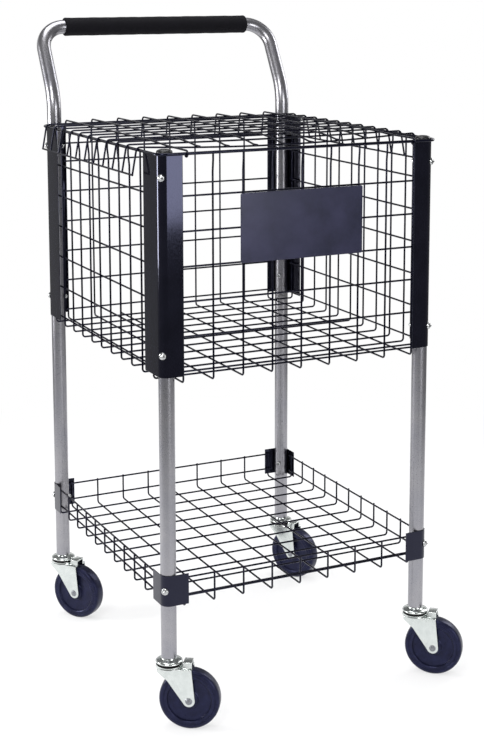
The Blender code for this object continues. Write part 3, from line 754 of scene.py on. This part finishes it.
paths = []
for y in crossY:
    arm = [(rodX + cornerOut, y, crossZ), (rodX + skirtOut, y, rimZ + skirtDown)]
    between = []
    if y < crossY[2]:
        stations = lid["sagStations"]
        spots = [rodX * (2 * i / stations - 1) for i in range(1, stations)]
        between = [(x, y, crossZ - sagAt(x, y)) for x in spots]
    stops = [(-x, y, z) for x, y, z in reversed(arm)] + between + arm
    paths.append(rounded(stops, [0, lid["bendR"]] + [0] * len(between) + [lid["bendR"], 0]))
hookR, bendR = lid["hookR"], mesh["bendR"]
slopeSteps = lid["slopeSteps"]
slopeY = [crossY[0] + i * (crossY[2] - crossY[0]) / slopeSteps for i in range(slopeSteps + 1)]
for i, x in enumerate(longX):
    slope = [(x, y, longZ - sagAt(x, y)) for y in slopeY]
    tail = rounded([slope[-1], (x, rodY + cornerOut, longZ),
                    (x, rodY + skirtOut, longZ - wrapR + skirtDown)], lid["bendR"])
    if i in (0, lid["longCount"] - 1):
        steps = lid["hookFacets"]
        turns = [lid["hookTurn"] * k / steps for k in range(steps, 0, -1)]
        curl = [(x, -rodY - hookR * math.sin(turn), rimZ + hookR * math.cos(turn))
                for turn in turns]
        start = [(x, bendR - rodY, rimZ + hookR),
                 (x, lid["hookRamp"] + bendR - rodY, longZ - sagAt(x, crossY[0]))]
        paths.append(curl + start + slope + tail[1:])
    else:
        paths.append([(x, crossY[0] - lid["past"], longZ - sagAt(x, crossY[0]))] + slope + tail[1:])
for s in (-1, 1):
    x, z = s * (rodX + skirtOut), rimZ + skirtDown
    paths.append([(x, crossY[0] - wireR, z), (x, crossY[-1] + wireR, z)])
y, z = rodY + skirtOut, longZ - wrapR + skirtDown
paths.append([(longX[0] - wireR, y, z), (longX[-1] + wireR, y, z)])
wirePiece("lidWires", paths, ["lid_top", "lid_left", "lid_right", "lid_rear",
                              "lid_hook_left", "lid_hook_right"], "lid")
print("lid made")

# Sign plate: bare, with rounded corners and an eased edge
sign = {
    "size": (0.220, 0.111),
    "thick": 0.002,
    "midZ": 0.8095,
    "cornerR": 0.003,
    "facet": math.radians(15),
    "ease": 0.0004,
    "holds": (0.0016, 0.005),
    "gap": 0.0001,         # off the front uprights
}
halfW, halfH = sign["size"][0] / 2, sign["size"][1] / 2
frontY = mesh["faceY"] + sign["gap"]
levels = [(inset, 0) for inset in (*sign["holds"][::-1], sign["ease"])]
levels += [(0, sign["ease"]), (0, sign["thick"] - sign["ease"])]
levels += [(inset, sign["thick"]) for inset in (sign["ease"], *sign["holds"])]
outlines = []
for inset, depth in levels:
    w, h = halfW - inset, halfH - inset
    ring = rounded([(-w, 0, -h), (w, 0, -h), (w, 0, h), (-w, 0, h)], sign["cornerR"],
                   closed=True, step=sign["facet"])
    outlines.append([(p.x, -frontY - depth, p.z + sign["midZ"]) for p in ring])
work = bmesh.new()
plateBetween(work, outlines, standAt(0, 0))
makePiece("signPlate", work, plateFinish, "frame", ["sign_plate"])

# Casters: a cup on the stem, a cup on the fork with a dark line of painted shade between them, a
# pressed fork with a raised back, a rivet and a stepped wheel
caster = {
    # degrees from +X, the way each wheel happened to trail
    "headings": {"fl": -33.2, "fr": -41.8, "rl": -54.5, "rr": -62.0},
    "trail": 0.034,
    "wheelR": 0.050,
    "forkHalf": 0.01625,
    "forkSheet": 0.0025,
    "forkFront": -0.0175,
    "forkLip": 0.005,
    "forkKnee": (-0.0013, 0.0834),
    "forkBack": 0.0385,
    "forkBends": (0.0012, 0.0015, 0.012),
    "lobeR": 0.0098,
    "archFrom": 0.0215,
    "archSlope": 0.003,
    "archRise": 0.010,
    "archHalf": 0.0105,
    "plateLow": 0.1005,
    "axleR": 0.004,
    "rivetR": 0.00575,
    "rivetH": 0.003,
    "rivetSink": 0.0004,   # how deep its heads sit in the fork
    "raceIn": 0.0205,      # what lies nearer the pin than this in the race is painted dark as shade
    "raceTop": 0.1104,
    "raceLow": 0.003,      # above the fork's plate
    "sides": 64,
    "rivetSides": 32,
    "forkEase": 0.0006,
}
wheelProfile = [
    (0.0044, 0.0125), (0.0052, 0.0130), (0.0066, 0.0130), (0.0072, 0.0124), (0.0132, 0.0124),
    (0.0140, 0.0119), (0.0150, 0.0093), (0.0160, 0.0086), (0.0338, 0.0085), (0.0350, 0.0088),
    (0.0364, 0.0114), (0.0374, 0.0120), (0.0412, 0.0120), (0.0417, 0.0115), (0.0425, 0.0115),
    (0.0430, 0.0120), (0.0452, 0.0120), (0.0470, 0.0115), (0.0485, 0.0104), (0.0494, 0.0087),
    (0.0499, 0.0060), (0.0500, 0.0030),
]
cupProfile = [
    (0, 0.1583), (0.0112, 0.1583), (0.0112, 0.1180), (0.0124, 0.1180), (0.0126, 0.1172),
    (0.0131, 0.1163), (0.0148, 0.1155), (0.0180, 0.1146), (0.0203, 0.1136), (0.0216, 0.1125),
    (0.0220, 0.1113), (0.0219, 0.1106), (0.0213, 0.1103), (0.0180, 0.1103), (0.0180, 0.1085),
    (0.0050, 0.1085), (0.0050, 0.1002), (0.0080, 0.1002), (0.0080, 0.0976), (0.0070, 0.0965),
    (0, 0.0965),
]
raceProfile = [
    (0, 0.1082), (0.0180, 0.1082), (0.0180, 0.1068), (0.0206, 0.1067), (0.0213, 0.1063),
    (0.0215, 0.1055), (0.0215, 0.1042), (0.0221, 0.1031), (0.0221, 0.1026), (0, 0.1026),
]


# A block with this outline in X and Z, which the fork is made from or cut with
def prism(outline, half):
    work = bmesh.new()
    plateBetween(work, [[(x, y, z) for x, z in outline] for y in (-half, half)])
    bmesh.ops.recalc_face_normals(work, faces=work.faces)
    made = bpy.data.meshes.new("prism")
    work.to_mesh(made)
    work.free()
    guide = bpy.data.objects.new("prism", made)
    bpy.context.scene.collection.objects.link(guide)
    return guide


# The fork's rounded end: an arc about the axle that meets the fork's two edges smoothly
def lobeArc(before, after, centre, radius, steps=20):
    angles = []
    for point, side in ((before, 1), (after, -1)):
        gone = Vector(point) - Vector(centre)
        angles.append(math.atan2(gone.y, gone.x) + side * math.acos(radius / gone.length))
    turn = (angles[1] - angles[0]) % math.tau
    return [(centre[0] + radius * math.cos(angles[0] + turn * k / steps),
             centre[1] + radius * math.sin(angles[0] + turn * k / steps)) for k in range(steps + 1)]


# The fork: two legs hang from a plate, and behind the race the plate is pressed up into
# a narrower arch that is open at the back. Swivel axis at 0, wheel towards +X
def forkBody():
    trail, thick = caster["trail"], caster["forkSheet"]
    low = caster["plateLow"]
    high = low + thick
    tip, back = caster["forkFront"], (caster["forkBack"], high)
    onPlate = (0.02, high, 0)          # where the front edge's outline comes from
    aim = (trail, 0.045, 0)            # below the axle, which the front edge points at
    front = rounded([onPlate, (tip, high, 0), (tip, high - caster["forkLip"], 0),
                     (*caster["forkKnee"], 0), aim], [0, *caster["forkBends"], 0])[1:-1]
    lobe = lobeArc((front[-1].x, front[-1].y), back, (trail, caster["wheelR"]), caster["lobeR"])
    outline = [(p.x, p.y) for p in front] + lobe + [back]
    solid = prism(outline, caster["forkHalf"])
    far = 0.06                         # past the fork on every side
    foot = low + 0.001                 # the arch's foot, within the plate's thickness
    below = 0.02                       # the arch's inside is cut from this far under the plate
    hollow = prism([(-far, 0), (far, 0), (far, low), (-far, low)], caster["forkHalf"] - thick)
    start, slope, crown = caster["archFrom"], caster["archSlope"], high + caster["archRise"]
    arch = prism([(start, foot), (start + slope, crown), (back[0], crown), (back[0], foot)],
                 caster["archHalf"])
    start += thick
    inside = prism([(start, low - below), (start + slope, crown - thick), (far, crown - thick),
                    (far, low - below)], caster["archHalf"] - thick)
    for tool, operation in ((hollow, "DIFFERENCE"), (arch, "UNION"), (inside, "DIFFERENCE")):
        step = solid.modifiers.new(operation.lower(), "BOOLEAN")
        step.operation = operation
        step.solver = "EXACT"
        step.object = tool
    ease = solid.modifiers.new("ease", "BEVEL")
    ease.width = caster["forkEase"]
    ease.segments = 3
    ease.limit_method = "ANGLE"
    ease.angle_limit = math.radians(50)
    bpy.context.view_layer.update()
    evaluated = solid.evaluated_get(bpy.context.evaluated_depsgraph_get())
    made = bpy.data.meshes.new_from_object(evaluated)
    for guide in (solid, hollow, arch, inside):
        bpy.data.objects.remove(guide, do_unlink=True)
    return made


forkMesh = forkBody()
forkTop = caster["plateLow"] + caster["forkSheet"]
reach, headR, headH = caster["forkHalf"], caster["rivetR"], caster["rivetH"]
rivetSide = [(0, reach + headH), (headR * 0.3, reach + headH * 0.97),
             (headR * 0.56, reach + headH * 0.78), (headR * 0.66, reach + headH * 0.5),
             (headR * 0.74, reach + headH * 0.42), (headR * 0.92, reach + headH * 0.34),
             (headR, reach + headH * 0.14), (headR, reach - caster["rivetSink"]),
             (caster["axleR"], reach - caster["rivetSink"])]
rivetProfile = rivetSide + [(r, -z) for r, z in reversed(rivetSide)]
wheelRing = wheelProfile + [(r, -z) for r, z in reversed(wheelProfile)]
acrossAxle = Matrix.Rotation(math.pi / 2, 4, "X")
for key, (sx, sy) in corners.items():
    stand = standAt(sx * postX, sy * postY)
    turned = stand @ Matrix.Rotation(math.radians(caster["headings"][key]), 4, "Z")
    axle = turned @ Matrix.Translation((caster["trail"], 0, caster["wheelR"])) @ acrossAxle

    def isNearPin(spot):
        return (spot - stand.translation).xy.length < caster["raceIn"]

    work = bmesh.new()
    lathe(work, cupProfile, caster["sides"], stand)
    # The stem's faces in the race and the pin below it take painted shade
    paint(work, 0, 1, lambda spot: spot.z < caster["raceTop"] and isNearPin(spot))
    makePiece("casterStem_" + key, work, [zincFinish, recessShadeFinish], "frame", ["stem_" + key])

    work = bmesh.new()
    work.from_mesh(forkMesh)
    bmesh.ops.transform(work, matrix=turned, verts=work.verts)
    made = len(work.faces)
    lathe(work, raceProfile, caster["sides"], turned)
    # The lower cup's inside above the plate takes painted shade, the dark gap of the race
    paint(work, made, 1, lambda spot: spot.z > forkTop + caster["raceLow"] and isNearPin(spot))
    made = len(work.faces)
    lathe(work, rivetProfile, caster["rivetSides"], axle)
    paint(work, made, 2)
    makePiece("casterFork_" + key, work, [zincFinish, recessShadeFinish, rivetFinish], "caster_" + key,
              ["fork_" + key], 30)

    work = bmesh.new()
    lathe(work, wheelRing, caster["sides"], axle, closed=True)
    makePiece("casterWheel_" + key, work, wheelFinish, "wheel_" + key, ["wheel_" + key],
              30)
bpy.data.meshes.remove(forkMesh)
print("sign plate and casters made")

# Studio: a pale floor that fades into a white surround, seen by the camera and in
# reflections, a dimmer room in front of it, and soft boxes
studio = {
    "floorR": 1.7,
    "floorGap": 0.0002,        # under the wheels
    "floorColour": "#f1f1f2",
    "shadowShare": 0.40,       # how much of the floor's shading shows near the cart
    "roomLevel": 0.60,         # ambient light on the cart
    "frontRoom": 0.18,         # what the room shows in reflections, behind the camera
    "sideRoom": 0.22,          # and at the sides, overhead and low behind
    "frontFade": (-0.85, -0.30),       # Y of a direction, from the front room to the sides
    "backdropFade": (-0.60, 0.30),     # Y where the white backdrop comes in
    "backdropLow": (0.0, 0.14),        # Z where it comes in from below
    "backdropHigh": (0.12, 0.42),      # and where it ends overhead
    "shadowFade": (0.55, 0.97),        # shares of floorR, where the shadow fades to white
}
white = [1.0, 1.0, 1.0, 1.0]
floorMesh = bpy.data.meshes.new("floor")
work = bmesh.new()
bmesh.ops.create_circle(work, cap_ends=True, segments=96, radius=studio["floorR"])
work.to_mesh(floorMesh)
work.free()
floor = bpy.data.objects.new("floor", floorMesh)
floor.location = middle + Vector((0, 0, -studio["floorGap"]))
bpy.context.scene.collection.objects.link(floor)
paper = bpy.data.materials.new("backdropPaper")
paper.use_nodes = True
tree = paper.node_tree
tree.nodes.clear()
rays = addNode(tree, "LightPath")
seen = addNode(tree, "Math", {0: rays.outputs["Is Camera Ray"], 1: rays.outputs["Is Glossy Ray"]},
               operation="MAXIMUM")
seen = addNode(tree, "Math", {0: seen.outputs[0], 1: rays.outputs["Is Transmission Ray"]},
               operation="MAXIMUM")
away = addNode(tree, "VectorMath", {0: addNode(tree, "TexCoord").outputs["Object"]},
               operation="LENGTH")
near = addNode(tree, "MapRange", {"Value": away.outputs["Value"],
                                  "From Min": studio["shadowFade"][0] * studio["floorR"],
                                  "From Max": studio["shadowFade"][1] * studio["floorR"],
                                  "To Min": studio["shadowShare"], "To Max": 0.0},
               interpolation_type="SMOOTHSTEP")
glow = addNode(tree, "Math", {0: 1.0, 1: near.outputs[0]}, operation="SUBTRACT")
share = addNode(tree, "Math", {0: seen.outputs[0], 1: glow.outputs[0]}, operation="MULTIPLY")
matte = addNode(tree, "BsdfDiffuse", {"Color": linear(studio["floorColour"])})
lit = addNode(tree, "Emission", {"Color": white, "Strength": 1.0})
both = addNode(tree, "MixShader", {0: share.outputs[0], 1: matte.outputs[0], 2: lit.outputs[0]})
addNode(tree, "OutputMaterial", {"Surface": both.outputs[0]})
floorMesh.materials.append(paper)

world = bpy.data.worlds.new("studio")
bpy.context.scene.world = world
world.use_nodes = True
tree = world.node_tree
tree.nodes.clear()
rays = addNode(tree, "LightPath")
direction = addNode(tree, "SeparateXYZ", {0: addNode(tree, "TexCoord").outputs["Generated"]})
behind = addNode(tree, "MapRange", {"Value": direction.outputs["Y"],
                                    "From Min": studio["backdropFade"][0],
                                    "From Max": studio["backdropFade"][1]},
                 interpolation_type="SMOOTHSTEP")
above = addNode(tree, "MapRange", {"Value": direction.outputs["Z"],
                                   "From Min": studio["backdropLow"][0],
                                   "From Max": studio["backdropLow"][1]},
                interpolation_type="SMOOTHSTEP")
under = addNode(tree, "MapRange", {"Value": direction.outputs["Z"],
                                   "From Min": studio["backdropHigh"][0],
                                   "From Max": studio["backdropHigh"][1],
                                   "To Min": 1.0, "To Max": 0.0},
                interpolation_type="SMOOTHSTEP")
band = addNode(tree, "Math", {0: above.outputs[0], 1: under.outputs[0]}, operation="MULTIPLY")
backdrop = addNode(tree, "Math", {0: behind.outputs[0], 1: band.outputs[0]},
                   operation="MULTIPLY")
dim = addNode(tree, "MapRange", {"Value": direction.outputs["Y"],
                                 "From Min": studio["frontFade"][0],
                                 "From Max": studio["frontFade"][1],
                                 "To Min": studio["frontRoom"], "To Max": studio["sideRoom"]},
              interpolation_type="SMOOTHSTEP")
shown = addNode(tree, "Mix", {0: backdrop.outputs[0], 2: dim.outputs[0], 3: 1.0}, data_type="FLOAT")
clear = addNode(tree, "Math", {0: rays.outputs["Is Camera Ray"],
                               1: rays.outputs["Is Transmission Ray"]}, operation="MAXIMUM")
room = addNode(tree, "Mix", {0: rays.outputs["Is Glossy Ray"], 2: studio["roomLevel"],
                             3: shown.outputs[0]}, data_type="FLOAT")
level = addNode(tree, "Mix", {0: clear.outputs[0], 2: room.outputs[0], 3: 1.0}, data_type="FLOAT")
background = addNode(tree, "Background", {"Color": white, "Strength": level.outputs[0]})
addNode(tree, "OutputWorld", {"Surface": background.outputs[0]})

softBoxes = [
    # name, place, aimed at, width, height, power
    ("key", (-1.9, -1.9, 2.3), (0, 0, 0.6), 1.0, 1.2, 42.0),
    ("front", (0.60, -3.1, 0.95), (0, 0, 0.8), 1.2, 1.2, 30.0),
    ("left", (-1.77, 0.74, 0.84), (-0.2, -0.25, 0.8), 0.50, 0.84, 26.0),
    ("right", (2.3, 0.5, 1.7), (0, 0, 0.6), 0.6, 1.6, 22.0),
    ("top", (0.0, 0.3, 3.0), (0, 0, 0), 1.6, 1.6, 34.0),
]
for name, spot, aim, width, height, power in softBoxes:
    lamp = bpy.data.lights.new(name, "AREA")
    lamp.shape = "RECTANGLE"
    lamp.size = width
    lamp.size_y = height
    lamp.energy = power
    holder = bpy.data.objects.new(name, lamp)
    holder.location = middle + Vector(spot)
    holder.rotation_mode = "QUATERNION"
    holder.rotation_quaternion = (Vector(aim) - Vector(spot)).to_track_quat("-Z", "Y")
    bpy.context.scene.collection.objects.link(holder)

view = {
    "place": (-1.16098, -2.43137, 1.19537),
    "yaw": 0.45307,            # from +Y towards +X
    "pitch": 0.15685,          # below level
    "roll": 0.00181,
    "lens": 74.54,
    "sensor": 36.0,
    "shift": -0.2,
    "near": 0.05,
}
yaw, pitchDown, roll = view["yaw"], view["pitch"], view["roll"]
ahead = Vector((math.sin(yaw) * math.cos(pitchDown), math.cos(yaw) * math.cos(pitchDown),
                -math.sin(pitchDown)))
levelRight = Vector((math.cos(yaw), -math.sin(yaw), 0))
levelDown = ahead.cross(levelRight)
right = levelRight * math.cos(roll) + levelDown * math.sin(roll)
down = levelDown * math.cos(roll) - levelRight * math.sin(roll)
lens = bpy.data.cameras.new("camera")
lens.lens = view["lens"]
lens.sensor_width = view["sensor"]
lens.shift_y = view["shift"]
lens.clip_start = view["near"]
camera = bpy.data.objects.new("camera", lens)
camera.matrix_world = Matrix.Translation(middle + Vector(view["place"])) @ Matrix(
    (right, -down, -ahead)).transposed().to_4x4()
bpy.context.scene.collection.objects.link(camera)
bpy.context.scene.camera = camera
bpy.context.scene.view_settings.view_transform = "Standard"
print("studio and camera made")

bpy.context.view_layer.update()
